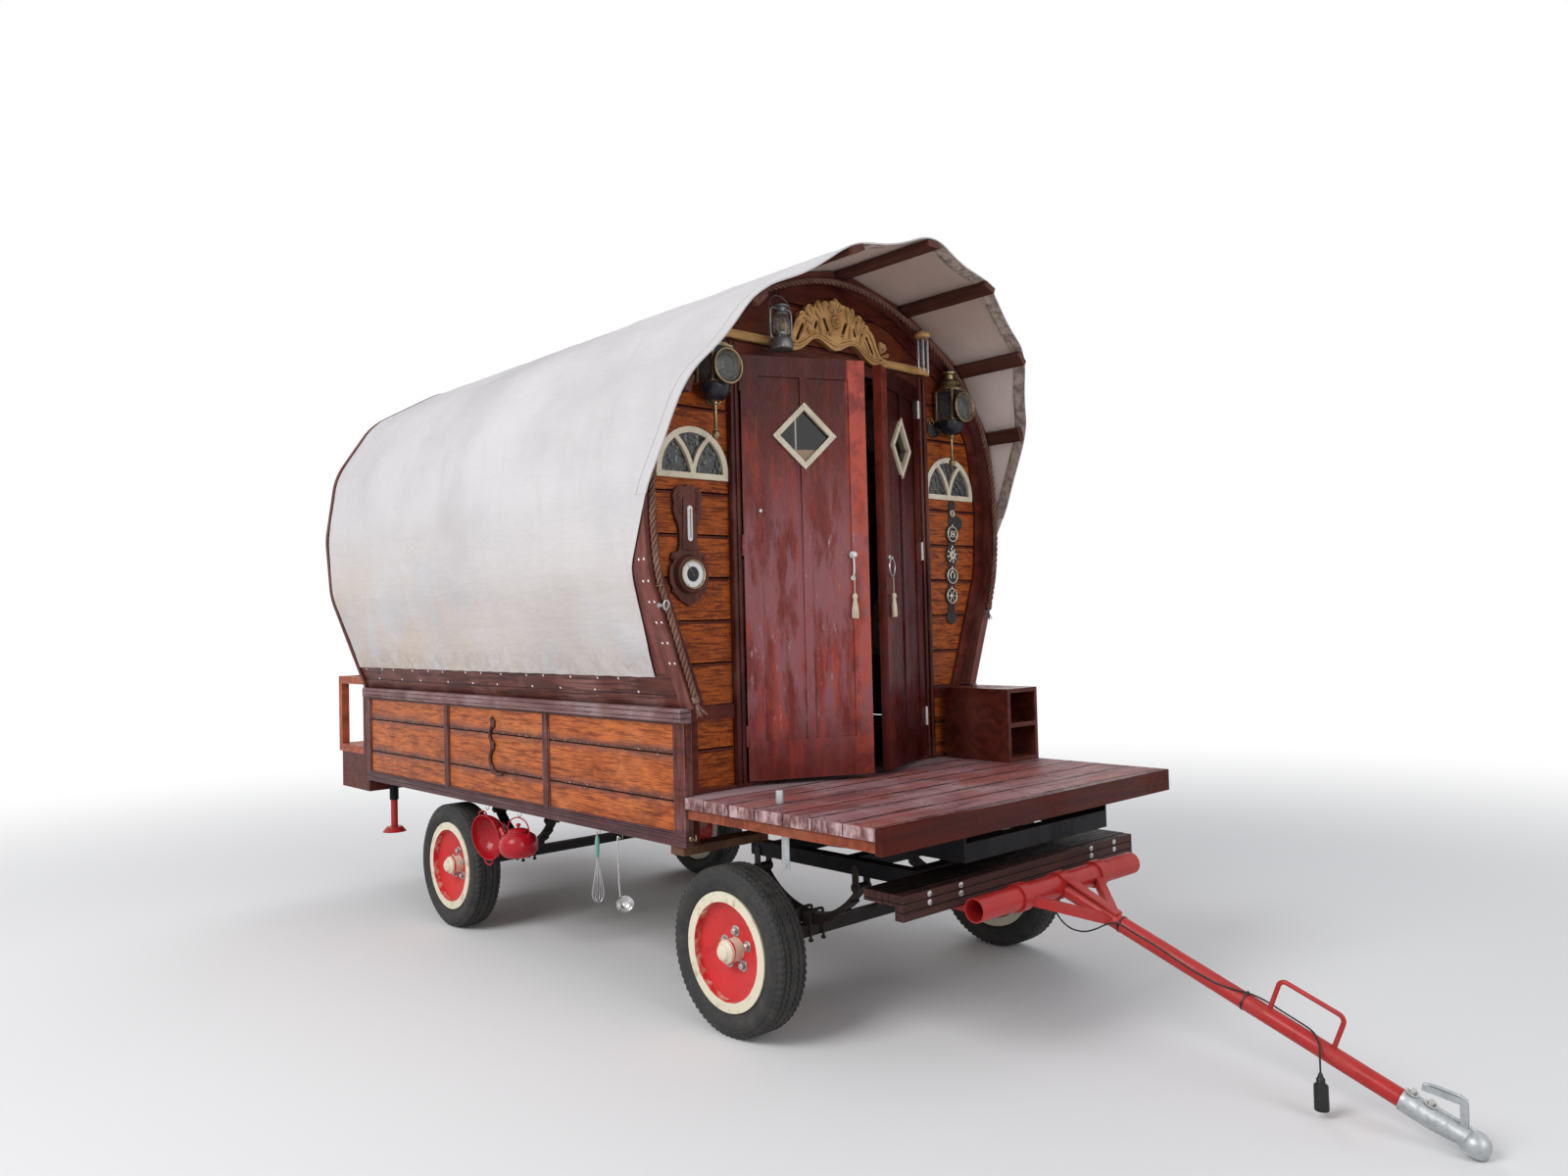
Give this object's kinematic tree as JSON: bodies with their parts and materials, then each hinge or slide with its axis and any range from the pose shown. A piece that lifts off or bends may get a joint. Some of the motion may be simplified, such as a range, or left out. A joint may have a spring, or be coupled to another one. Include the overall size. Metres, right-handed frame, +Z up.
{
  "type": "vardo wagon",
  "caption": "Canvas-topped living wagon with framed wooden body, double front doors, porch deck, rear rack and a drawbar on a turntable front axle.",
  "frame": {"origin": "on the ground, halfway between the rear rack and the coupling's nose, on the centre line", "axes": "+X forward along the drawbar, +Y to the wagon's left, +Z up"},
  "size_m": [6.346, 2.3536, 3.2851],
  "materials": {
    "dark_wood": "worn varnish over maroon stain",
    "orange_wood": "varnished wavy grain",
    "weathered_wood": "weathered grey",
    "deck_wood": "worn maroon stain",
    "ochre_wood": "carved and varnished",
    "cream_paint": "aged cream paint",
    "canvas": "off-white cotton canvas",
    "window_glass": "obscured glass",
    "black_steel": "dull black paint",
    "red_paint": "worn red paint",
    "galvanised": "galvanised",
    "tyre": "worn rubber",
    "brass": "aged brass and black",
    "cable": "matt"
  },
  "bodies": {
    "wagon": {"canopy": "canvas", "canvas_rails": "dark_wood", "chassis": "black_steel", "crest": "ochre_wood", "deck_frame": "orange_wood", "deck_planks": "deck_wood", "fan_frames": "cream_paint", "fan_glass": "window_glass", "floor": "deck_wood", "front_boards": "orange_wood", "front_bow": "dark_wood", "front_frame": "dark_wood", "jack_sleeves": "black_steel", "lamps": "brass", "ledge": "weathered_wood", "middle_bows": "dark_wood", "pan_box": "dark_wood", "porch_locker": "dark_wood", "purlins": "dark_wood", "rear_axle": "black_steel", "rear_boards": "orange_wood", "rear_frame": "dark_wood", "rear_rack": "orange_wood", "rear_springs": "black_steel", "side_boards": "orange_wood", "side_frames": "dark_wood"},
    "door_left": {"door_left": "dark_wood", "door_window_left": "cream_paint", "door_glass_left": "window_glass"},
    "door_right": {"door_right": "dark_wood", "door_window_right": "cream_paint", "door_glass_right": "window_glass"},
    "jack_left": {"jack_leg_left": "red_paint"},
    "jack_right": {"jack_leg_right": "red_paint"},
    "gear": {"steering_gear": "black_steel", "front_axle": "black_steel", "front_springs": "black_steel", "splinter_bar": "deck_wood", "cross_tube": "red_paint"},
    "drawbar": {"drawbar": "red_paint", "coupling_head": "galvanised", "coupling_lever": "galvanised", "cable": "cable", "cable_plug": "cable"},
    "wheel_front_left": {"tyre_front_left": "tyre", "wheel_front_left": "red_paint"},
    "wheel_front_right": {"tyre_front_right": "tyre", "wheel_front_right": "red_paint"},
    "wheel_rear_left": {"tyre_rear_left": "tyre", "wheel_rear_left": "red_paint"},
    "wheel_rear_right": {"tyre_rear_right": "tyre", "wheel_rear_right": "red_paint"}
  },
  "joints": [
    {"name": "steering", "type": "hinge", "parent": "wagon", "child": "gear", "pos_m": [0.767, 0, 0.68], "axis": [0, 0, 1], "range_deg": [-40, 40]},
    {"name": "drawbar_lift", "type": "hinge", "parent": "gear", "child": "drawbar", "pos_m": [1.703, 0, 0.583], "axis": [0, -1, 0], "range_deg": [0, 60]},
    {"name": "door_left_hinge", "type": "hinge", "parent": "wagon", "child": "door_left", "pos_m": [0.545, 0.594, 1], "axis": [0, 0, 1], "range_deg": [-24.5, 75]},
    {"name": "door_right_hinge", "type": "hinge", "parent": "wagon", "child": "door_right", "pos_m": [0.545, -0.594, 1], "axis": [0, 0, -1], "range_deg": [-24.5, 75]},
    {"name": "jack_left_slide", "type": "slide", "parent": "wagon", "child": "jack_left", "axis": [0, 0, -1], "range_m": [0, 0.375]},
    {"name": "jack_right_slide", "type": "slide", "parent": "wagon", "child": "jack_right", "axis": [0, 0, -1], "range_m": [0, 0.375]},
    {"name": "front_left_wheel_spin", "type": "hinge", "parent": "gear", "child": "wheel_front_left", "pos_m": [0.767, 0.857, 0.335], "axis": [0, 1, 0], "continuous": true},
    {"name": "front_right_wheel_spin", "type": "hinge", "parent": "gear", "child": "wheel_front_right", "pos_m": [0.767, -0.857, 0.335], "axis": [0, 1, 0], "continuous": true},
    {"name": "rear_left_wheel_spin", "type": "hinge", "parent": "wagon", "child": "wheel_rear_left", "pos_m": [-1.628, 0.857, 0.335], "axis": [0, 1, 0], "continuous": true},
    {"name": "rear_right_wheel_spin", "type": "hinge", "parent": "wagon", "child": "wheel_rear_right", "pos_m": [-1.628, -0.857, 0.335], "axis": [0, 1, 0], "continuous": true}
  ]
}
